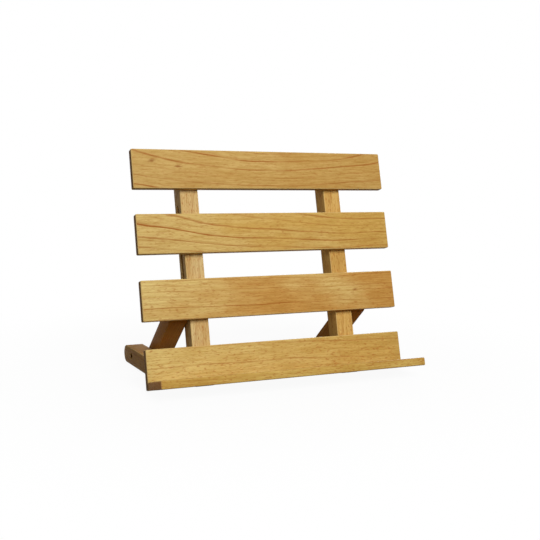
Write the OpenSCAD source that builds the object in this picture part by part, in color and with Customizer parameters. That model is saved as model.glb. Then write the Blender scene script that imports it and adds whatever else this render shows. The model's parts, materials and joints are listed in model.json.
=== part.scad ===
// Folding bookstand: four slats and a ledge on two stiles, with a leg and a base bar on each side.
// +X runs along the slats, +Y points away from the reader, +Z is up. Z = 0 is the table.

/* [Slats] */
// Length of each slat and of the ledge
slat_len = 320; // [280:1:400]
// Height of the three upper slats, measured up the board
slat_h = 45.6; // [40:0.2:48]
// Height of the bottom slat
low_slat_h = 44.4; // [40:0.2:48]
// Thickness of a slat
slat_t = 10; // [8:0.5:12]
// Distance from one slat's lower edge to the next one's
slat_pitch = 74.8; // [70:0.2:78]
// Width of the eased edge on every wooden piece
ease = 1.2; // [0.6:0.1:1.6]

/* [Ledge] */
// How far the ledge stands out in front of the slats
ledge_d = 52.4; // [40:0.2:60]
// Thickness of the ledge
ledge_t = 9.2; // [8.6:0.2:12]

/* [Stiles] */
// Distance between the inner faces of the two stiles
stile_gap = 163.2; // [130:0.2:180]
// Width of a stile, leg or bar, measured along the slats
rail_w = 21.8; // [19:0.2:24]
// Depth of a stile from front to back
stile_d = 23.6; // [22.6:0.2:26]
// How far the stile's top end stays below the top slat's upper edge
stile_short = 8; // [4:1:12]
// How far the board leans back from upright
board_tilt = 16.7; // [15.5:0.1:18]

/* [Groove for the leg pin] */
// Width of the groove in each stile's outer face
groove_w = 8.2; // [8.2:0.1:8.6]
// Depth of the groove into the stile
groove_deep = 8; // [6:0.5:9]
// Distance of the groove's centre line behind the slats' front face
groove_back = 23.4; // [23.2:0.1:23.6]
// Free play of the pin at each end of the groove
groove_play = 0.3; // [0.3:0.1:1]

/* [Base bars] */
// Height of a base bar
bar_h = 20.8; // [19:0.2:22]
// Height of a bar's front pivot, measured up the board
bar_pivot_up = 21; // [20:0.5:22]
// Distance of a bar's front pivot behind the slats' front face
bar_pivot_back = 25.3; // [25:0.1:26]
// How far the front pivot lies under the bar's middle line
bar_pivot_drop = 3; // [2.5:0.5:3.5]
// Distance along the bar from its front pivot to the leg's pivot
bar_reach = 87.6; // [85:0.2:88]
// Distance along the bar from the leg's pivot to the centre of its round rear end
bar_tail = 26; // [22:0.5:30]
// Angle between a bar and the board when the stand is open
bar_angle = 77.7; // [77:0.1:78.4]

/* [Legs] */
// Depth of a leg across its length
leg_d = 20.8; // [19:0.2:22]
// How far the pin lies in front of the leg's middle line
leg_pin_off = 3; // [2.5:0.5:3.5]
// Angle between a leg and its bar when the stand is open
leg_angle = 37; // [36:0.1:38]

/* [Folding] */
// Angle left between a bar and the board when the stand is folded flat
fold_rest = 2; // [1.5:0.1:2.5]
// How far the pin lies in front of the groove's centre line at both ends of its travel
pin_lead = 1.4; // [1.2:0.1:1.5]

/* [Screws and pins] */
// Diameter of a pivot screw's shank
bolt_d = 4; // [3:0.5:5]
// Diameter of a pivot screw's head
bolt_head_d = 7; // [6:0.5:7.2]
// Height of a pivot screw's head
bolt_head_h = 4; // [2.5:0.5:5]
// Diameter of the recess for a pivot screw's head
recess_d = 8; // [7.8:0.1:9]
// Depth of that recess
recess_deep = 10; // [8:0.5:12]
// Width across the corners of the hexagon socket in a pivot screw
socket_w = 3.4; // [2:0.1:4]
// Diameter of the pin in a leg's top end
pin_d = 4.6; // [4:0.1:4.6]
// Depth to which the pin is driven into the leg
pin_grip = 15; // [10:1:18]
// Outer diameter of the spacer on a front pivot
spacer_d = 16; // [12:0.5:18]
// Outer diameter of the washer between leg and bar
washer_d = 12; // [9:0.5:16]
// Thickness of that washer
washer_t = 0.8; // [0.5:0.1:0.9]
// Shank diameter of the screws in slats and ledge
screw_d = 3.6; // [3:0.1:4]
// Head diameter of those screws
screw_head_d = 6.8; // [6:0.1:7]
// Height of those screws' heads
screw_head_h = 2.4; // [2:0.1:3]
// Width of the cross in those screws' heads
cross_w = 0.9; // [0.6:0.1:1.2]
// Height of the screws above the lower edge of each of the three upper slats
slat_screw_up = 22.5; // [14:0.5:26]
// Height of the bottom slat's screws, above the bars' pivot screws
low_screw_up = 33; // [31.5:0.5:35]
// Depth to which the slat screws' heads are sunk into the stile
screw_sink = 11.6; // [8:0.2:13]
// Length of a slat screw under its head
slat_screw_len = 18.6; // [17:0.2:19.2]
// Length of a ledge screw under its head
ledge_screw_len = 38; // [25:1:44]
// Distance from one ledge screw to the next
ledge_screw_pitch = 89.6; // [80:0.4:92]

/* [Gaps] */
// Gap between a stile and the leg beside it
leg_gap = 0.6; // [0.4:0.1:1]
// Gap between a leg and the bar beside it
bar_gap = 1.2; // [1:0.1:1.6]
// Gap between a spacer and the bar it holds away
spacer_gap = 0.3; // [0.3:0.1:0.5]
// Radial clearance of a pivot screw in the piece that turns on it
run_fit = 0.05; // [0.02:0.01:0.09]
// Radial clearance of a screw, pin or spacer in the piece that it is fixed to
snug_fit = 0.03; // [0.01:0.01:0.05]

/* [Hidden] */
$fn = 64;

stile_top = 3 * slat_pitch + slat_h - stile_short;
bar_slope = board_tilt + bar_angle - 90;
leg_slope = leg_angle + bar_slope;

// Positions along X of the faces on the right-hand side.
stile_x = stile_gap / 2;
leg_x = stile_x + rail_w + leg_gap;
bar_x = leg_x + rail_w + bar_gap;
// The slat screws stand a little nearer the groove than the middle of the wood beside it.
screw_off = 1;
screw_x = stile_x + (rail_w - groove_deep) / 2 + screw_off;
// Clearance across a wood screw's head in its recess, and how far a cutter runs past a face.
head_play = 0.3;
past = 1;
// Distance from a stile's or leg's inner face to the end of the screw that holds it.
bolt_inset = rail_w / 4;

// Directions in the Y-Z plane: along a bar to the rear, square to it, along a leg upwards, square to it.
bar_dir = [cos(bar_slope), -sin(bar_slope)];
bar_up = [sin(bar_slope), cos(bar_slope)];
leg_dir = [-cos(leg_slope), sin(leg_slope)];
leg_front = [-sin(leg_slope), -cos(leg_slope)];

// A place on the board, given as height up the board and distance behind its front, in the Y-Z plane.
function on_board(up, back) = [
    up * sin(board_tilt) + back * cos(board_tilt),
    up * cos(board_tilt) - back * sin(board_tilt)];
// The height up the board of the screws in a slat, counted from the bottom one.
function screw_up(number) = slat_pitch * number + (number == 0 ? low_screw_up : slat_screw_up);
// The height up the board of a point in the Y-Z plane, and its distance behind the board's front.
function up_board(p) = p[0] * sin(board_tilt) + p[1] * cos(board_tilt);
function back_board(p) = p[0] * cos(board_tilt) - p[1] * sin(board_tilt);
function turned(p, angle) = [
    p[0] * cos(angle) - p[1] * sin(angle),
    p[0] * sin(angle) + p[1] * cos(angle)];

// The pivots and the bar's round rear end, from the board's lower front corner.
front_pivot = on_board(bar_pivot_up, bar_pivot_back);
bar_arm = bar_reach * bar_dir + bar_pivot_drop * bar_up;
leg_pivot = front_pivot + bar_arm;
tail_centre = leg_pivot + bar_tail * bar_dir;

// The leg is as long as it takes to bring its pin into the groove.
pin_back = groove_back - pin_lead;
leg_lean = leg_slope - board_tilt;
leg_reach = (back_board(leg_pivot) - pin_back - leg_pin_off * sin(leg_lean)) / cos(leg_lean);
leg_arm = leg_reach * leg_dir + leg_pin_off * leg_front;
leg_pin = leg_pivot + leg_arm;

// Folding turns the bar up against the stile and lays the leg along it, with the pin still in the
// groove. leg_ratio is how many degrees the leg turns on the bar for each degree the bar turns.
fold_angle = bar_angle - fold_rest;
folded_pivot = front_pivot + turned(bar_arm, fold_angle);
folded_lean = atan(leg_pin_off / leg_reach)
    + acos((back_board(folded_pivot) - pin_back) / norm(leg_arm));
leg_ratio = 1 + (folded_lean - leg_lean) / fold_angle;
folded_pin = folded_pivot + turned(leg_arm, fold_angle * (1 - leg_ratio));
groove_low = up_board(leg_pin) - groove_play;
groove_high = up_board(folded_pin) + groove_play;

// The lower front corner's place above the table, so that the bars' rear ends touch it,
// and along Y, so that the open stand is centred.
lift = bar_h / 2 - tail_centre[1];
front_reach = ledge_d * cos(board_tilt) - ease * sin(board_tilt);
rear_reach = tail_centre[0] + bar_h / 2;
shift = (front_reach - rear_reach) / 2;

wood_light = "burlywood";
wood_warm = "tan";
steel = "silver";

// A block with eased edges, from one corner at the origin.
module eased_block(size, e = ease) {
    hull() {
        translate([e, e, 0]) cube(size - [2 * e, 2 * e, 0]);
        translate([e, 0, e]) cube(size - [2 * e, 0, 2 * e]);
        translate([0, e, e]) cube(size - [0, 2 * e, 2 * e]);
    }
}

// A rail with round ends, along +Y from a centre at the origin; its inner face is at x = 0.
module round_rail(length, height) {
    hull()
        for (y = [0, length], side = [[0, ease], [ease, 0]])
            translate([side[0], y, 0]) rotate([0, 90, 0])
                cylinder(h = rail_w - 2 * side[0], r = height / 2 - side[1], $fn = 40);
}

// Things placed on the leaning board: X along it, Y behind its front face, Z up the board.
module on_the_board() {
    translate([0, shift, lift]) rotate([-board_tilt, 0, 0]) children();
}

// Things placed at a point in the Y-Z plane and turned about X.
module at_point(p, angle = 0) {
    translate([0, shift + p[0], lift + p[1]]) rotate([angle, 0, 0]) children();
}

module mirrored(left) {
    mirror([left ? 1 : 0, 0, 0]) children();
}

// A round bar along +X, starting at x.
module rod(x, length, d) {
    translate([x, 0, 0]) rotate([0, 90, 0]) cylinder(h = length, d = d);
}

module slat(number) {
    color(wood_light) difference() {
        on_the_board() translate([-slat_len / 2, 0, slat_pitch * number])
            eased_block([slat_len, slat_t, number == 0 ? low_slat_h : slat_h]);
        on_the_board() slat_screw_holes(number);
        if (number == 0) on_the_board() ledge_screw_holes();
    }
}

module slat_top() slat(3);
module slat_upper() slat(2);
module slat_lower() slat(1);
module slat_bottom() slat(0);

module ledge() {
    color(wood_light) difference() {
        on_the_board() translate([-slat_len / 2, -ledge_d, 0])
            eased_block([slat_len, ledge_d, ledge_t]);
        on_the_board() ledge_screw_holes();
    }
}

// The blind groove with round ends, up the board from the centre of its lower end.
module groove() {
    length = groove_high - groove_low;
    rotate([90, 0, 90]) linear_extrude(groove_deep + past) {
        translate([-groove_w / 2, 0]) square([groove_w, length]);
        for (up = [0, length]) translate([0, up]) circle(d = groove_w);
    }
}

// A stile with its groove, its screw holes and a foot cut level with the table.
module stile(left) {
    color(wood_warm) mirrored(left) difference() {
        on_the_board() difference() {
            translate([stile_x, slat_t, -stile_d / 2])
                eased_block([rail_w, stile_d, stile_top + stile_d / 2]);
            translate([stile_x + rail_w - groove_deep, groove_back, groove_low]) groove();
            for (number = [0:3]) slat_screw_holes(number);
        }
        translate([0, 0, -slat_len]) cube([slat_len, 2 * slat_len, 2 * slat_len], center = true);
        at_point(front_pivot) rod(stile_x + bolt_inset, rail_w, bolt_d + 2 * snug_fit);
    }
}

module stile_left() stile(true);
module stile_right() stile(false);

// The bar lies behind the leg's far side and turns on the front pivot.
module base_bar(left) {
    color(wood_warm) mirrored(left) difference() {
        at_point(front_pivot, -bar_slope) translate([bar_x, 0, bar_pivot_drop])
            round_rail(bar_reach + bar_tail, bar_h);
        for (p = [front_pivot, leg_pivot]) at_point(p) {
            rod(bar_x - past, rail_w + 2 * past, bolt_d + 2 * run_fit);
            rod(bar_x + rail_w - recess_deep, recess_deep + past, recess_d);
        }
    }
}

module base_bar_left() base_bar(true);
module base_bar_right() base_bar(false);

module leg(left) {
    color(wood_warm) mirrored(left) difference() {
        at_point(leg_pivot, 180 - leg_slope) translate([leg_x, 0, 0])
            round_rail(leg_reach, leg_d);
        at_point(leg_pivot) rod(leg_x + bolt_inset, rail_w, bolt_d + 2 * snug_fit);
        at_point(leg_pin) rod(leg_x - past, pin_grip + past, pin_d + 2 * snug_fit);
    }
}

module leg_left() leg(true);
module leg_right() leg(false);

// A cap screw along X with its head at the outer end.
module cap_screw(p, inner_x) {
    head_x = bar_x + rail_w - recess_deep + spacer_gap;
    at_point(p) difference() {
        union() {
            rod(inner_x, head_x - inner_x, bolt_d);
            rod(head_x, bolt_head_h, bolt_head_d);
        }
        translate([head_x + bolt_head_h / 2, 0, 0]) rotate([0, 90, 0])
            cylinder(h = bolt_head_h, d = socket_w, $fn = 6);
    }
}

module bar_bolt(left) {
    color(steel) mirrored(left) cap_screw(front_pivot, stile_x + bolt_inset);
}

module bar_bolt_left() bar_bolt(true);
module bar_bolt_right() bar_bolt(false);

module leg_bolt(left) {
    color(steel) mirrored(left) cap_screw(leg_pivot, leg_x + bolt_inset);
}

module leg_bolt_left() leg_bolt(true);
module leg_bolt_right() leg_bolt(false);

module spacer(left) {
    color(wood_light) mirrored(left) at_point(front_pivot) difference() {
        rod(stile_x + rail_w, bar_x - spacer_gap - stile_x - rail_w, spacer_d);
        rod(stile_x, slat_len, bolt_d + 2 * snug_fit);
    }
}

module spacer_left() spacer(true);
module spacer_right() spacer(false);

module leg_washer(left) {
    color(steel) mirrored(left) at_point(leg_pivot) difference() {
        rod(leg_x + rail_w, washer_t, washer_d);
        rod(leg_x, slat_len, bolt_d + 2 * snug_fit);
    }
}

module leg_washer_left() leg_washer(true);
module leg_washer_right() leg_washer(false);

module leg_pin(left) {
    color(steel) mirrored(left) at_point(leg_pin)
        rod(leg_x - groove_deep, groove_deep + pin_grip, pin_d);
}

module leg_pin_left() leg_pin(true);
module leg_pin_right() leg_pin(false);

// A wood screw that points to -Y, with the underside of its head at the origin.
module wood_screw(length) {
    difference() {
        union() {
            rotate([90, 0, 0]) cylinder(h = length, d = screw_d);
            rotate([-90, 0, 0]) cylinder(h = screw_head_h, d = screw_head_d);
        }
        for (turn = [0, 90])
            translate([0, screw_head_h, 0]) rotate([0, turn, 0])
                cube([screw_head_d / 2, screw_head_h, cross_w], center = true);
    }
}

module wood_screw_hole(length, sink) {
    rotate([90, 0, 0]) cylinder(h = length + snug_fit, d = screw_d + 2 * snug_fit);
    rotate([-90, 0, 0]) cylinder(h = sink, d = screw_head_d + head_play);
}

// One screw through each stile into each slat.
module at_slat_screw(number) {
    translate([screw_x, slat_t + stile_d - screw_sink, screw_up(number)])
        children();
}

module slat_screw_holes(number) {
    for (side = [0, 1]) mirror([side, 0, 0])
        at_slat_screw(number) wood_screw_hole(slat_screw_len, screw_sink + past);
}

module slat_screws(left) {
    color(steel) mirrored(left) on_the_board()
        for (number = [0:3]) at_slat_screw(number) wood_screw(slat_screw_len);
}

module slat_screws_left() slat_screws(true);
module slat_screws_right() slat_screws(false);

// A row of screws through the bottom slat into the ledge's rear edge.
module at_ledge_screws() {
    for (place = [-1.5:1.5])
        translate([place * ledge_screw_pitch, slat_t - screw_head_h, ledge_t / 2]) children();
}

module ledge_screw_holes() {
    at_ledge_screws() wood_screw_hole(ledge_screw_len, screw_head_h + past);
}

module ledge_screws() {
    color(steel) on_the_board() at_ledge_screws() wood_screw(ledge_screw_len);
}

slat_top();
slat_upper();
slat_lower();
slat_bottom();
ledge();
stile_left();
stile_right();
leg_left();
leg_right();
base_bar_left();
base_bar_right();
spacer_left();
spacer_right();
bar_bolt_left();
bar_bolt_right();
leg_bolt_left();
leg_bolt_right();
leg_pin_left();
leg_pin_right();
leg_washer_left();
leg_washer_right();
slat_screws_left();
slat_screws_right();
ledge_screws();
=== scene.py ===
import json
import math

import bmesh
import bpy
from mathutils import Euler, Matrix, Vector


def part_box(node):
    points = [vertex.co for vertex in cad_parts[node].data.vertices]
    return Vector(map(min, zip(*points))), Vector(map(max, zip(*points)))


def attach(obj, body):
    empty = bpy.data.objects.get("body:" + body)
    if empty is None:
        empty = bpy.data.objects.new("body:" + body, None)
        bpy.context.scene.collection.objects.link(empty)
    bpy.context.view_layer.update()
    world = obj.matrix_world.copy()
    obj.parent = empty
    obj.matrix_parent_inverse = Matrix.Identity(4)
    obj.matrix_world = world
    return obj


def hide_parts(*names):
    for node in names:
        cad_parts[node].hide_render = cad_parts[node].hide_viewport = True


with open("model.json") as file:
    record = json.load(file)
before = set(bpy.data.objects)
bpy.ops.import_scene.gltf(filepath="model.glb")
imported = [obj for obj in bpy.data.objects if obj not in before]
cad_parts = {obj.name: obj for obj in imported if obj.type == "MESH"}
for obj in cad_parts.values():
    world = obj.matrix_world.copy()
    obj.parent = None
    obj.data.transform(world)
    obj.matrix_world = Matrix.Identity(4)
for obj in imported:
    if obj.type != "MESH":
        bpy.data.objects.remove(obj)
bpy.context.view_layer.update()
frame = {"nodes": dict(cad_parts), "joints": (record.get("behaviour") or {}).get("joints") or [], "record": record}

# ---- Four slats ----
# Flat slats of rubberwood, planed on all sides, with every edge rounded over and a clear satin
# lacquer. They lie across the front of the two stiles and are screwed on from behind.
MM = 0.001
slat_length = 320
slat_thickness = 10
slat_height = 45.6
bottom_height = 44.4
slat_pitch = 74.8
slat_round = 1.42
slat_names = ("slat_bottom", "slat_lower", "slat_upper", "slat_top")

# The board leans back: "up" runs up the slats' front, "back" goes through it.
board_up = Vector(frame["record"]["mounts"][2]["axis"]).normalized()
board_back = -Vector(frame["record"]["mounts"][3]["axis"]).normalized()
board_turn = Euler((-math.atan2(board_up.y, board_up.z), 0, 0))
board_corner = sum(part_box("slat_bottom"), Vector()) / 2 - (
    board_back * slat_thickness + board_up * bottom_height) / 2 * MM


def on_board(x, back, up):
    """The point at these millimetres along, behind and up the board."""
    return board_corner + (Vector((x, 0, 0)) + board_back * back + board_up * up) * MM


def deselect():
    if bpy.context.object and bpy.context.object.mode != "OBJECT":
        bpy.ops.object.mode_set(mode="OBJECT")
    bpy.ops.object.select_all(action="DESELECT")


def select_only(piece):
    deselect()
    piece.select_set(True)
    bpy.context.view_layer.objects.active = piece


def start_block(name, *size):
    """A block of these millimetres around the origin, to be shaped and then laid in its place."""
    deselect()
    bpy.ops.mesh.primitive_cube_add(size=1, scale=Vector(size) * MM)
    piece = bpy.context.object
    piece.name = piece.data.name = name
    bpy.ops.object.transform_apply(location=False, rotation=False, scale=True)
    return piece


def start_rod(start, end, diameter, steps):
    """A round rod between two points."""
    deselect()
    run = end - start
    bpy.ops.mesh.primitive_cylinder_add(vertices=steps, radius=diameter / 2 * MM,
                                        depth=run.length, location=(start + end) / 2,
                                        rotation=run.to_track_quat("Z", "Y").to_euler())
    bpy.ops.object.transform_apply(location=True, rotation=True, scale=True)
    return bpy.context.object


def apply_modifier(piece, kind, **settings):
    select_only(piece)
    modifier = piece.modifiers.new(kind.title(), kind)
    for key, value in settings.items():
        setattr(modifier, key, value)
    bpy.ops.object.modifier_apply(modifier=modifier.name)


def ease_edges(piece, width, steps=4):
    """Takes the sharpness off every edge that is still sharp."""
    apply_modifier(piece, "BEVEL", width=width * MM, segments=steps, limit_method="ANGLE",
                   angle_limit=math.radians(40))


def cut_away(piece, cutter):
    """Takes the cutter's shape out of the piece and removes the cutter."""
    apply_modifier(piece, "BOOLEAN", operation="DIFFERENCE", solver="EXACT", object=cutter)
    bpy.data.objects.remove(cutter)


def drill(piece, start, end, diameter):
    """A round hole between two points."""
    cut_away(piece, start_rod(start, end, diameter, 48))


def lay(piece, place, turn):
    """Turns the piece, moves it to its place and leaves both in its mesh."""
    select_only(piece)
    piece.rotation_euler = turn
    piece.location = place
    bpy.ops.object.transform_apply(location=True, rotation=True, scale=True)


def smooth(piece):
    select_only(piece)
    bpy.ops.object.shade_smooth_by_angle(angle=math.radians(35))


def finish_piece(piece, material, body, node):
    """Gives the piece its material and the body it moves with, and hides the solid it stands for."""
    piece.data.materials.clear()
    piece.data.materials.append(material)
    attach(piece, body)
    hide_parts(node)


def linear(hex_colour):
    """An sRGB colour as the linear one that a shader takes."""
    parts = [int(hex_colour[i:i + 2], 16) / 255 for i in (1, 3, 5)]
    return [c / 12.92 if c <= 0.04045 else ((c + 0.055) / 1.055) ** 2.4 for c in parts] + [1]


def add_node(tree, kind, inputs, output=0, **settings):
    """Adds one node with its settings; an input is given a number, a colour or another node's
    socket. Returns the output asked for."""
    node = tree.nodes.new("ShaderNode" + kind)
    for key, value in settings.items():
        setattr(node, key, value)
    for key, value in inputs.items():
        if isinstance(value, bpy.types.NodeSocket):
            tree.links.new(value, node.inputs[key])
        else:
            node.inputs[key].default_value = value
    return node.outputs[output] if node.outputs else None


# A mix of two colours: the inputs for the share and the colours, and the node's settings.
SHARE, FIRST, SECOND = 0, 6, 7
colour_mix = dict(output=2, data_type="RGBA")


def rubberwood(name, centre, turn, pith, seed, lean=(0, 0), ring=7, figure=0.4, dashes=0.6,
               sway=9, drift=0.0, ends=(0.52, 0.42, 0.5), edges=0.8, knots=(),
               tones=("#CBA458", "#BF9149")):
    """Rubberwood under clear satin lacquer: yellowish tan with thin red-brown growth lines, fine
    fibre lines and short dark pores that follow the grain, and darker end grain. "turn" takes X
    to the grain. In millimetres, pith is how far the tree's heart lies off the piece's middle,
    ring the growth lines' spacing, sway how far the grain wanders and knots their places along
    and up the piece. "lean" tilts the heart, in degrees. figure, dashes and edges say how much
    the growth lines, pores and painted highlights on the rounded edges show, and ends tints the
    end grain. "drift" is painted light: it moves the colour from the first tone to the second,
    per millimetre, so that a piece is paler at one end."""
    material = bpy.data.materials.new(name)
    material.use_nodes = True
    tree = material.node_tree
    tree.nodes.clear()
    growth_line, pore, knot = linear("#A05A20"), linear("#A65E26"), linear("#8A4A1C")
    # A painted highlight: the pale colour laid on the rounded edges.
    painted_highlight = linear("#E4C27C")
    smooth_step = dict(interpolation_type="SMOOTHSTEP")

    # Millimetres in the piece's own frame, X along the grain, which sways a little.
    place = add_node(tree, "TexCoord", {}, "Object")
    straight = add_node(tree, "Mapping", {
        "Vector": place, "Location": centre, "Rotation": turn, "Scale": (MM, MM, MM)},
        vector_type="TEXTURE")

    def cloudy(vector, size, detail, start, output=0):
        """Soft random variation whose patches are this many millimetres along X, Y and Z."""
        stretched = add_node(tree, "VectorMath", {
            0: vector, 1: [1 / length for length in size],
            2: (start, start * 1.7, start * 0.6)}, operation="MULTIPLY_ADD")
        return add_node(tree, "TexNoise", {"Vector": stretched, "Scale": 1, "Detail": detail},
                        output)

    swaying = cloudy(straight, (120, 60, 60), 1, seed + 3, "Color")
    grain = add_node(tree, "VectorMath", {0: swaying, 1: (0, sway, sway), 2: straight},
                     operation="MULTIPLY_ADD")

    # Growth rings around the tree's heart: a ring's number and the place within it.
    heart = add_node(tree, "Mapping", {
        "Vector": grain, "Location": (0, pith[0], pith[1]),
        "Rotation": (0, math.radians(lean[0]), math.radians(lean[1]))}, vector_type="TEXTURE")
    flat = add_node(tree, "VectorMath", {0: heart, 1: (0, 1, 1)}, operation="MULTIPLY")
    radius = add_node(tree, "VectorMath", {0: flat}, "Value", operation="LENGTH")
    uneven = cloudy(grain, (90, 9, 9), 2, seed + 7)
    radius = add_node(tree, "Math", {0: uneven, 1: 3.0, 2: radius}, operation="MULTIPLY_ADD")
    rings = add_node(tree, "Math", {0: radius, 1: ring}, operation="DIVIDE")
    number = add_node(tree, "Math", {0: rings}, operation="FLOOR")
    part = add_node(tree, "Math", {0: rings}, operation="FRACT")

    # Growth lines: one thin line a ring, each of its own strength, fading in and out.
    strength = add_node(tree, "TexWhiteNoise", {"W": number}, "Value", noise_dimensions="1D")
    strength = add_node(tree, "Math", {0: strength, 1: figure, 2: figure * 0.3},
                        operation="MULTIPLY_ADD")
    rise = add_node(tree, "MapRange", {"Value": part, "From Min": 0.76, "From Max": 0.92},
                    **smooth_step)
    drop = add_node(tree, "MapRange", {"Value": part, "From Min": 0.92, "From Max": 1.0,
                                       "To Min": 1.0, "To Max": 0.0}, **smooth_step)
    fading = add_node(tree, "MapRange", {
        "Value": cloudy(grain, (60, 10, 10), 2, seed + 11), "From Min": 0.34, "From Max": 0.6,
        "To Min": 0.3, "To Max": 1.0}, **smooth_step)
    growth = add_node(tree, "Math", {0: rise, 1: drop}, operation="MULTIPLY")
    growth = add_node(tree, "Math", {0: growth, 1: fading}, operation="MULTIPLY")
    growth = add_node(tree, "Math", {0: growth, 1: strength}, operation="MULTIPLY")

    # Between them, fainter lines about 4 mm apart, here and there.
    closer = add_node(tree, "Math", {0: radius, 1: 1 / 2.1}, operation="MULTIPLY")
    closer = add_node(tree, "Math", {0: closer, 1: 1.0}, operation="PINGPONG")
    closer = add_node(tree, "MapRange", {"Value": closer, "From Min": 0.6, "From Max": 1.0,
                                         "To Max": figure * 0.35}, **smooth_step)
    here_and_there = add_node(tree, "MapRange", {
        "Value": cloudy(grain, (35, 5, 5), 2, seed + 17), "From Min": 0.4, "From Max": 0.65},
        **smooth_step)
    closer = add_node(tree, "Math", {0: closer, 1: here_and_there}, operation="MULTIPLY")

    # Fibre lines about 1.4 mm apart, flecks, and pores drawn 0.9 mm wide so that they show.
    fibre = add_node(tree, "MapRange", {
        "Value": cloudy(grain, (30, 1.4, 1.4), 4, seed + 23), "From Min": 0.3, "From Max": 0.7,
        "To Min": -1.0, "To Max": 1.0}, **smooth_step)
    fleck = add_node(tree, "MapRange", {
        "Value": cloudy(grain, (10, 2.2, 2.2), 3, seed + 31), "From Min": 0.3, "From Max": 0.7,
        "To Min": -1.0, "To Max": 1.0}, **smooth_step)
    pores = add_node(tree, "MapRange", {
        "Value": cloudy(grain, (5.0, 0.9, 0.9), 1, seed + 41), "From Min": 0.56,
        "From Max": 0.68, "To Max": dashes}, **smooth_step)

    # The board's own two tones in wide patches. Added to them is painted light: drift moves the colour
    # towards the second tone along X, so that each slat is paler at its left end.
    along = add_node(tree, "SeparateXYZ", {0: straight}, "X")
    patches = add_node(tree, "Math", {
        0: along, 1: drift, 2: cloudy(grain, (110, 30, 30), 2, seed + 57)},
        operation="MULTIPLY_ADD")
    patches = add_node(tree, "MapRange", {"Value": patches, "From Min": 0.3, "From Max": 0.7},
                       **smooth_step)
    colour = add_node(tree, "Mix", {
        SHARE: patches, FIRST: linear(tones[0]), SECOND: linear(tones[1])}, **colour_mix)
    for share in (closer, growth):
        colour = add_node(tree, "Mix", {SHARE: share, FIRST: colour, SECOND: growth_line},
                          **colour_mix)

    # A pin knot or two: dark dots about 3 mm across, drawn out along the grain.
    for x, up in knots:
        apart = add_node(tree, "VectorMath", {
            0: straight, 1: (0.45, 0, 1), 2: (-0.45 * x, 0, -up)}, operation="MULTIPLY_ADD")
        reach = add_node(tree, "VectorMath", {0: apart}, "Value", operation="LENGTH")
        reach = add_node(tree, "Math", {0: fleck, 1: 0.7, 2: reach}, operation="MULTIPLY_ADD")
        dot = add_node(tree, "MapRange", {"Value": reach, "From Min": 0.4, "From Max": 2.4,
                                          "To Min": 0.7, "To Max": 0.0}, **smooth_step)
        colour = add_node(tree, "Mix", {SHARE: dot, FIRST: colour, SECOND: knot}, **colour_mix)

    # The fibres' darker sides are a little redder, too.
    lit = add_node(tree, "Math", {0: fleck, 1: 0.17, 2: 0.5}, operation="MULTIPLY_ADD")
    lit = add_node(tree, "Math", {0: fibre, 1: 0.33, 2: lit}, operation="MULTIPLY_ADD")
    shade = add_node(tree, "Mix", {
        SHARE: lit, FIRST: (0.87, 0.80, 0.68, 1), SECOND: (1.12, 1.17, 1.26, 1)}, **colour_mix)
    colour = add_node(tree, "Mix", {SHARE: 1.0, FIRST: colour, SECOND: shade},
                      blend_type="MULTIPLY", **colour_mix)
    colour = add_node(tree, "Mix", {SHARE: pores, FIRST: colour, SECOND: pore}, **colour_mix)

    # End grain has a tint of its own. The rounded edges get a painted highlight, a paler colour, so
    # each shows as a thin light line.
    normal = add_node(tree, "TexCoord", {}, "Normal")
    squareness = []
    for axis in ((1, 0, 0), (0, 1, 0), (0, 0, 1)):
        facing = add_node(tree, "VectorMath", {
            0: normal, 1: Euler(turn).to_matrix() @ Vector(axis)}, "Value",
            operation="DOT_PRODUCT")
        squareness.append(add_node(tree, "Math", {0: facing}, operation="ABSOLUTE"))
    end = add_node(tree, "MapRange", {"Value": squareness[0], "From Min": 0.6,
                                      "From Max": 0.9}, **smooth_step)
    end_colour = add_node(tree, "Mix", {SHARE: 1.0, FIRST: colour, SECOND: (*ends, 1)},
                          blend_type="MULTIPLY", **colour_mix)
    colour = add_node(tree, "Mix", {SHARE: end, FIRST: colour, SECOND: end_colour}, **colour_mix)
    flattest = add_node(tree, "Math", {0: squareness[1], 1: squareness[2]}, operation="MAXIMUM")
    flattest = add_node(tree, "Math", {0: squareness[0], 1: flattest}, operation="MAXIMUM")
    highlight_share = add_node(tree, "MapRange", {"Value": flattest, "From Min": 0.84, "From Max": 0.98,
                                       "To Min": edges, "To Max": 0.0}, **smooth_step)
    colour = add_node(tree, "Mix", {SHARE: highlight_share, FIRST: colour, SECOND: painted_highlight}, **colour_mix)

    gloss = add_node(tree, "Math", {0: end, 1: 0.12, 2: 0.46}, operation="MULTIPLY_ADD")
    gloss = add_node(tree, "Math", {0: fibre, 1: 0.03, 2: gloss}, operation="MULTIPLY_ADD")
    height = add_node(tree, "Math", {0: fibre, 1: 0.3}, operation="MULTIPLY")
    height = add_node(tree, "Math", {0: height, 1: pores}, operation="SUBTRACT")
    bump = add_node(tree, "Bump", {"Strength": 0.2, "Distance": 0.0002, "Height": height})
    shader = add_node(tree, "BsdfPrincipled", {
        "Base Color": colour, "Roughness": gloss, "IOR": 1.5, "Specular IOR Level": 0.015,
        "Normal": bump})
    add_node(tree, "OutputMaterial", {"Surface": shader})
    return material


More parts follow.
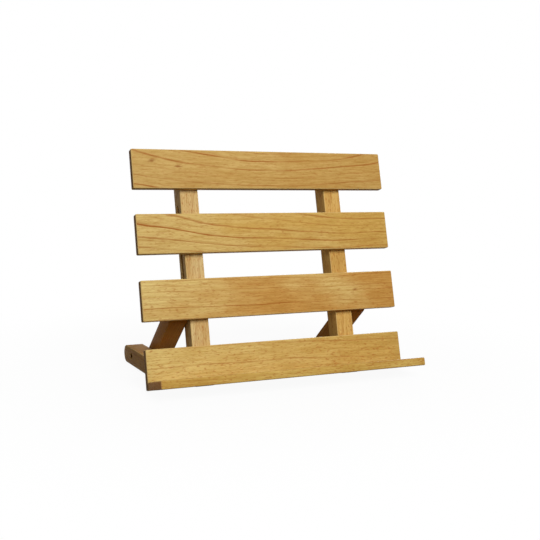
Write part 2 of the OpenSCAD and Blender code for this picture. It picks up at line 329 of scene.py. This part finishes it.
# How each slat was sawn: its place in the log, its growth lines and its tones.
slat_grain = {
    "slat_top": dict(pith=(-3, 44), lean=(0, 11), ring=10, figure=0.75, dashes=0.35, sway=11,
                     knots=((-106, 3), (-137, 9)), tones=("#CAA662", "#C19853"), seed=1.3),
    "slat_upper": dict(pith=(-30, 50), lean=(-1, 8), ring=9, figure=0.8, dashes=0.4,
                       tones=("#D1B16B", "#C9A154"), seed=5.1),
    "slat_lower": dict(pith=(-30, -120), lean=(0.4, 0.3), ring=6, figure=0.7, dashes=0.45,
                       knots=((106, 2),), tones=("#DBBF78", "#C2914A"), seed=9.7),
    "slat_bottom": dict(pith=(-90, 80), lean=(0.5, 0.8), ring=6,
                        tones=("#D4B66E", "#C59F54"), seed=14.2),
}
# Where the screws are, along the board and above each slat's lower edge, and their holes' sizes.
slat_screw_x = 89.5
screw_up = 22.5
bottom_screw_up = 33
ledge_screw_x = (-134.4, -44.8, 44.8, 134.4)
ledge_screw_up = 4.6
screw_hole = 3.66
screw_depth = 6.6
head_hole = 7.1
head_depth = 2.4
# How far a cutter reaches past the face where it enters.
over = 1
back_face = slat_thickness / 2
for name in slat_names:
    lowest = name == "slat_bottom"
    height = bottom_height if lowest else slat_height
    piece = start_block(name + "_wood", slat_length, slat_thickness, height)
    ease_edges(piece, slat_round)
    # Two blind holes in the back for the screws from the stiles.
    up = (bottom_screw_up if lowest else screw_up) - height / 2
    for x in (-slat_screw_x, slat_screw_x):
        drill(piece, Vector((x, back_face - screw_depth, up)) * MM,
              Vector((x, back_face + over, up)) * MM, screw_hole)
    if lowest:
        # Four holes for the screws that hold the ledge, with counterbores in the back.
        up = ledge_screw_up - height / 2
        for x in ledge_screw_x:
            drill(piece, Vector((x, -back_face - over, up)) * MM,
                  Vector((x, back_face - over, up)) * MM, screw_hole)
            drill(piece, Vector((x, back_face - head_depth, up)) * MM,
                  Vector((x, back_face + over, up)) * MM, head_hole)
    smooth(piece)
    middle = sum(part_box(name), Vector()) / 2
    lay(piece, middle, board_turn)
    # drift paints light on each slat: paler at its left end, deeper and more orange at its right.
    finish_piece(piece, rubberwood(name + "_rubberwood", middle, board_turn, drift=0.0016,
                                   **slat_grain[name]), "panel", name)

# ---- Ledge ----
# The board that the book stands on: the same rubberwood as the slats, edges rounded over.
# Its rear edge is glued and screwed against the front of the bottom slat.
ledge_depth = 52.4
ledge_thickness = 9.2
ledge_hole_depth = 30.4
ledge = start_block("ledge_wood", slat_length, ledge_depth, ledge_thickness)
ease_edges(ledge, slat_round)
for x in ledge_screw_x:
    drill(ledge, Vector((x, ledge_depth / 2 - ledge_hole_depth, 0)) * MM,
          Vector((x, ledge_depth / 2 + over, 0)) * MM, screw_hole)
smooth(ledge)
ledge_middle = sum(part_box("ledge"), Vector()) / 2
lay(ledge, ledge_middle, board_turn)
# The ledge's end grain is tinted lighter than its faces, unlike the other pieces': painted light on its left end.
finish_piece(ledge, rubberwood("ledge_rubberwood", ledge_middle, board_turn, pith=(20, -75),
                               lean=(0.6, 1.2), figure=0.5, ends=(1.5, 1.25, 2.0), edges=0.15,
                               tones=("#CEAC5E", "#C29A4C"), seed=21.4),
             "panel", "ledge")


# ---- Two stiles ----
# Rubberwood rails that carry the slats, their feet sawn level with the table. A blind groove
# with round ends is routed in each outer face, where the pin of the leg slides.
def round_ends(piece, width, steps=16):
    """Makes both ends of the block half circles of this width, seen along X."""
    just_under_half = 0.4999
    select_only(piece)
    bpy.ops.object.mode_set(mode="EDIT")
    bpy.ops.mesh.select_mode(type="EDGE")
    bpy.ops.mesh.select_all(action="DESELECT")
    mesh = bmesh.from_edit_mesh(piece.data)
    for edge in mesh.edges:
        if abs(edge.verts[0].co.x - edge.verts[1].co.x) > MM:
            edge.select_set(True)
    bmesh.update_edit_mesh(piece.data)
    bpy.ops.mesh.bevel(offset=width * just_under_half * MM, segments=steps, affect="EDGES",
                       profile=0.5)
    bpy.ops.mesh.select_all(action="SELECT")
    bpy.ops.mesh.remove_doubles(threshold=0.05 * MM)
    bpy.ops.object.mode_set(mode="OBJECT")


def on_axis(pivot, x):
    """The point of a pivot's axis that lies this many millimetres right of the middle."""
    return Vector((x * MM, pivot.y, pivot.z))


def mirror_copy(piece, name):
    """The same piece, with a mesh of its own, for the left side of the stand."""
    select_only(piece)
    bpy.ops.object.duplicate(linked=False)
    twin = bpy.context.object
    twin.name = twin.data.name = name
    twin.scale = (-1, 1, 1)
    bpy.ops.object.transform_apply(location=True, rotation=True, scale=True)
    bpy.ops.object.mode_set(mode="EDIT")
    bpy.ops.mesh.select_all(action="SELECT")
    bpy.ops.mesh.normals_make_consistent(inside=False)
    bpy.ops.object.mode_set(mode="OBJECT")
    smooth(twin)
    return twin


rail_width = 21.8
rail_round = 1.2
stile_depth = 23.6
stile_top = 262
blank_length = 290
# The inner and outer faces' distances from the stand's middle.
stile_inner = 81.6
stile_outer = stile_inner + rail_width
stile_x = (stile_inner + stile_outer) / 2
stile_back = slat_thickness + stile_depth / 2
# The groove's middle line is this far behind the slats' front, between two heights.
groove_back = 23.4
groove_low = 79.58
groove_high = 204.70
groove_width = 8.2
groove_depth = 8
cutter_width = 20
pivot_hole = 4.06
# How far the slat screws' heads sit behind the slats' front.
head_seat = 22

stile = start_block("stile_right_wood", rail_width, stile_depth, blank_length)
ease_edges(stile, rail_round)
lay(stile, on_board(stile_x, stile_back, stile_top - blank_length / 2), board_turn)
select_only(stile)
bpy.ops.object.mode_set(mode="EDIT")
bpy.ops.mesh.select_all(action="SELECT")
bpy.ops.mesh.bisect(plane_co=(0, 0, 0), plane_no=(0, 0, 1), use_fill=True, clear_inner=True)
bpy.ops.object.mode_set(mode="OBJECT")

cutter = start_block("groove_cutter", cutter_width, groove_width,
                     groove_high - groove_low + groove_width)
round_ends(cutter, groove_width, 12)
lay(cutter, on_board(stile_outer - groove_depth + cutter_width / 2, groove_back,
                     (groove_low + groove_high) / 2), board_turn)
cut_away(stile, cutter)

# The slats' screws come from behind, with their heads deep in the stile.
for up in [bottom_screw_up] + [row * slat_pitch + screw_up for row in (1, 2, 3)]:
    drill(stile, on_board(slat_screw_x, slat_thickness - over, up),
          on_board(slat_screw_x, head_seat + over, up), screw_hole)
    drill(stile, on_board(slat_screw_x, head_seat, up),
          on_board(slat_screw_x, slat_thickness + stile_depth + over, up), head_hole)

# The bar's screw ends in the stile, a quarter of its width from the inner face.
joints = {joint["name"]: Vector(joint["pos_m"]) for joint in frame["joints"]}
front_pivot, leg_pivot = joints["bar_fold_right"], joints["leg_fold_right"]
drill(stile, on_axis(front_pivot, stile_inner + rail_width / 4),
      on_axis(front_pivot, stile_outer + over), pivot_hole)
smooth(stile)

stile_grain = Matrix((board_up, board_back.cross(board_up), board_back)).transposed().to_euler()
twin = mirror_copy(stile, "stile_left_wood")
for piece, name, side, slant, tones, seed in (
        (stile, "stile_right", 1, 0.5, ("#D6AE64", "#C99F56"), 31.7),
        (twin, "stile_left", -1, 9, ("#D8BE86", "#CCAA6E"), 37.9)):
    middle = on_board(side * stile_x, stile_back, stile_top / 2)
    finish_piece(piece, rubberwood(name + "_rubberwood", middle, stile_grain,
                                   pith=(side * 40, -55), lean=(0.8, slant), tones=tones,
                                   seed=seed),
                 "panel", name)

# ---- Two base bars ----
# Rubberwood bars with round ends, on the table outside the legs. Each turns on a cap screw in
# its stile and carries its leg on a second one, both heads sunk in recesses in the outer face.
bar_height = 20.8
bar_tail = 26
bar_hole = 4.1
recess_width = 8
recess_depth = 10
# The front pivot sits this far below the bar's middle line, and the rear one on it.
bar_drop = 3
arm = (leg_pivot - front_pivot) / MM
bar_reach = math.sqrt(arm.length_squared - bar_drop ** 2)
bar_slope = math.atan2(arm.z, arm.y) - math.atan2(bar_drop, bar_reach)
bar_turn = Euler((bar_slope, 0, 0))
bar_span = bar_reach + bar_tail
bar = start_block("base_bar_right_wood", rail_width, bar_span + bar_height, bar_height)
round_ends(bar, bar_height)
ease_edges(bar, rail_round)
bar_middle = front_pivot + bar_turn.to_matrix() @ Vector((0, bar_span / 2, bar_drop)) * MM
lay(bar, bar_middle, bar_turn)
bar_inner = front_pivot.x / MM - rail_width / 2
bar_outer = bar_inner + rail_width
for pivot in (front_pivot, leg_pivot):
    drill(bar, on_axis(pivot, bar_outer - recess_depth), on_axis(pivot, bar_outer + over),
          recess_width)
    drill(bar, on_axis(pivot, bar_inner - over),
          on_axis(pivot, bar_outer - recess_depth + over), bar_hole)
smooth(bar)
bar_grain = (bar_turn.to_matrix() @ Matrix.Rotation(math.pi / 2, 3, "Z")).to_euler()
twin = mirror_copy(bar, "base_bar_left_wood")
for piece, name, body, side, seed in ((bar, "base_bar_right", "bar_right", 1, 43.1),
                                      (twin, "base_bar_left", "bar_left", -1, 49.6)):
    middle = Vector((side * bar_middle.x, bar_middle.y, bar_middle.z))
    # The bars are tinted darker and more orange than the board: painted shade.
    finish_piece(piece, rubberwood(name + "_rubberwood", middle, bar_grain, pith=(50, 40),
                                   lean=(1.0, 0.6), tones=("#C99847", "#B58133"), seed=seed),
                 body, name)

# ---- Two legs ----
# Slanting rubberwood legs with round ends, between the stiles and the bars. The lower end turns
# on the bar's rear screw; a steel pin in the upper end runs in the stile's groove.
leg_x = 114.9
leg_depth = 20.8
pin_hole = 4.66
pin_depth = 15
# The screw is on the leg's middle line, and the pin this far off it.
pin_off = 3
pin = sum(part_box("leg_pin_right"), Vector()) / 2
arm = (on_axis(pin, leg_x) - on_axis(leg_pivot, leg_x)) / MM
leg_reach = math.sqrt(arm.length_squared - pin_off ** 2)
leg_slope = math.atan2(arm.z, arm.y) - math.atan2(pin_off, leg_reach)
leg_turn = Euler((leg_slope, 0, 0))
leg = start_block("leg_right_wood", rail_width, leg_reach + leg_depth, leg_depth)
round_ends(leg, leg_depth)
ease_edges(leg, rail_round)
leg_middle = (on_axis(leg_pivot, leg_x)
              + leg_turn.to_matrix() @ Vector((0, leg_reach / 2, 0)) * MM)
lay(leg, leg_middle, leg_turn)
leg_inner = leg_x - rail_width / 2
leg_outer = leg_x + rail_width / 2
drill(leg, on_axis(leg_pivot, leg_x - rail_width / 4), on_axis(leg_pivot, leg_outer + over),
      pivot_hole)
drill(leg, on_axis(pin, leg_inner - over), on_axis(pin, leg_inner + pin_depth), pin_hole)
smooth(leg)
leg_grain = (leg_turn.to_matrix() @ Matrix.Rotation(math.pi / 2, 3, "Z")).to_euler()
twin = mirror_copy(leg, "leg_left_wood")
for piece, name, side, seed in ((leg, "leg_right", 1, 55.2), (twin, "leg_left", -1, 61.8)):
    middle = Vector((side * leg_middle.x, leg_middle.y, leg_middle.z))
    # The legs are tinted darker and redder than the board: painted shade.
    finish_piece(piece, rubberwood(name + "_rubberwood", middle, leg_grain, pith=(-45, 50),
                                   lean=(0.7, 0.9), edges=0.2, tones=("#BE873C", "#AA732B"),
                                   seed=seed),
                 name, name)

# ---- Two spacers ----
# Turned rubberwood discs on the front screws, which hold each bar one leg's width off its stile.
spacer_width = 16
spacer_round = 0.5
for name, seed in (("spacer_right", 68.3), ("spacer_left", 66.3)):
    low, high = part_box(name)
    middle = (low + high) / 2
    half = Vector(((high.x - low.x) / 2, 0, 0))
    piece = start_rod(middle - half, middle + half, spacer_width, 64)
    piece.name = piece.data.name = name + "_wood"
    ease_edges(piece, spacer_round, 3)
    drill(piece, middle - half * 2, middle + half * 2, pivot_hole)
    smooth(piece)
    finish_piece(piece, rubberwood(name + "_rubberwood", middle, (0, 0, 0), pith=(30, 10),
                                   ring=5, figure=0.3, seed=seed),
                 "panel", name)


# ---- Steel ----
# Turned cap screws in black oxide, and bright zinc-plated wood screws, pins and washers. They
# keep their solids' shapes and only get a material.
def steel(name, colours, roughness):
    """Steel whose colour and gloss vary a little, in patches of about a millimetre."""
    material = bpy.data.materials.new(name)
    material.use_nodes = True
    tree = material.node_tree
    tree.nodes.clear()
    place = add_node(tree, "TexCoord", {}, "Object")
    wear = add_node(tree, "TexNoise", {"Vector": place, "Scale": 900, "Detail": 3})
    gloss = add_node(tree, "Math", {0: wear, 1: 0.2, 2: roughness - 0.1},
                     operation="MULTIPLY_ADD")
    tint = add_node(tree, "Mix", {
        SHARE: wear, FIRST: linear(colours[0]), SECOND: linear(colours[1])}, **colour_mix)
    shader = add_node(tree, "BsdfPrincipled", {"Base Color": tint, "Roughness": gloss,
                                               "Metallic": 1.0})
    add_node(tree, "OutputMaterial", {"Surface": shader})
    return material


black_oxide = steel("black_oxide_steel", ("#2E2D2C", "#3A3836"), 0.42)
zinc = steel("zinc_plated_steel", ("#C3C4C2", "#A9ABAA"), 0.3)
for name, piece in frame["nodes"].items():
    if any(word in name for word in ("bolt", "screws", "pin", "washer")):
        piece.data.materials.clear()
        piece.data.materials.append(black_oxide if "bolt" in name else zinc)


# ---- Floor ----
# A plain white floor that keeps a faint soft shadow under the stand and fades to plain white.
# Light that reaches it on its way to the stand finds it grey, so little comes back up.
def seen_as_white(tree):
    """1 for rays from the camera and for mirrored and passing ones, else 0."""
    seen = add_node(tree, "LightPath", {}, "Is Camera Ray")
    for kind in ("Is Glossy Ray", "Is Transmission Ray"):
        ray = add_node(tree, "LightPath", {}, kind)
        seen = add_node(tree, "Math", {0: seen, 1: ray}, operation="MAXIMUM")
    return seen


deselect()
bpy.ops.mesh.primitive_plane_add(size=16, location=(0, 0, -0.0002))
floor = bpy.context.object
floor.name = "floor"
paper = bpy.data.materials.new("white_floor")
paper.use_nodes = True
tree = paper.node_tree
tree.nodes.clear()
place = add_node(tree, "TexCoord", {}, "Object")
distance = add_node(tree, "VectorMath", {0: place}, "Value", operation="LENGTH")
clear = add_node(tree, "MapRange", {"Value": distance, "From Min": 0.15, "From Max": 0.5,
                                    "To Min": 0.94, "To Max": 1.0},
                 interpolation_type="SMOOTHSTEP")
share = add_node(tree, "Math", {0: seen_as_white(tree), 1: clear}, operation="MULTIPLY")
by_camera = add_node(tree, "LightPath", {}, "Is Camera Ray")
paint = add_node(tree, "Mix", {
    SHARE: by_camera, FIRST: linear("#625F5B"), SECOND: (1, 1, 1, 1)}, **colour_mix)
matt = add_node(tree, "BsdfDiffuse", {"Color": paint})
glow = add_node(tree, "Emission", {"Color": (1, 1, 1, 1), "Strength": 1.0})
both = add_node(tree, "MixShader", {0: share, 1: matt, 2: glow})
add_node(tree, "OutputMaterial", {"Surface": both})
floor.data.materials.append(paper)

# ---- Light ----
# A large soft lamp in front above lights the board. One behind on the right and a faint one
# behind on the left light the rear and the sides, in a room that is dim but looks white.
scene = bpy.context.scene
world = bpy.data.worlds.new("pale_room")
scene.world = world
world.use_nodes = True
tree = world.node_tree
tree.nodes.clear()
room = add_node(tree, "Background", {"Color": (1, 1, 1, 1), "Strength": 0.13})
white = add_node(tree, "Background", {"Color": (1, 1, 1, 1), "Strength": 1.0})
both = add_node(tree, "MixShader", {0: seen_as_white(tree), 1: room, 2: white})
add_node(tree, "OutputWorld", {"Surface": both})


def add_lamp(name, place, size, watts):
    """A square lamp that points at the middle of the stand."""
    stand_middle = Vector((0, 0, 0.12))
    lamp = bpy.data.lights.new(name, "AREA")
    lamp.shape = "SQUARE"
    lamp.size = size
    lamp.energy = watts
    holder = bpy.data.objects.new(name, lamp)
    holder.location = place
    holder.rotation_euler = (stand_middle - Vector(place)).to_track_quat("-Z", "Y").to_euler()
    scene.collection.objects.link(holder)


add_lamp("key_lamp", (-0.04, -1.3, 0.95), 0.7, 21.3)
add_lamp("back_lamp", (1.2, 1.7, 0.45), 1.0, 26)
add_lamp("left_lamp", (-1.2, 1.7, 0.45), 1.0, 2)

# ---- Camera ----
# Level with the top of the stand, in front and to the left, and looking down at it a little.
eye = (-0.3969, -0.9106, 0.2635)
heading = -23.69
dip = 8.09
roll = 1.35
lens = bpy.data.cameras.new("camera")
camera = bpy.data.objects.new("camera", lens)
scene.collection.objects.link(camera)
scene.camera = camera
lens.sensor_width = 36
lens.lens = 56.21
lens.clip_start, lens.clip_end = 0.05, 50
camera.matrix_world = (Matrix.Translation(eye)
                       @ Matrix.Rotation(math.radians(heading), 4, "Z")
                       @ Matrix.Rotation(math.radians(90 - dip), 4, "X")
                       @ Matrix.Rotation(math.radians(roll), 4, "Z"))

scene.view_settings.view_transform = "Standard"
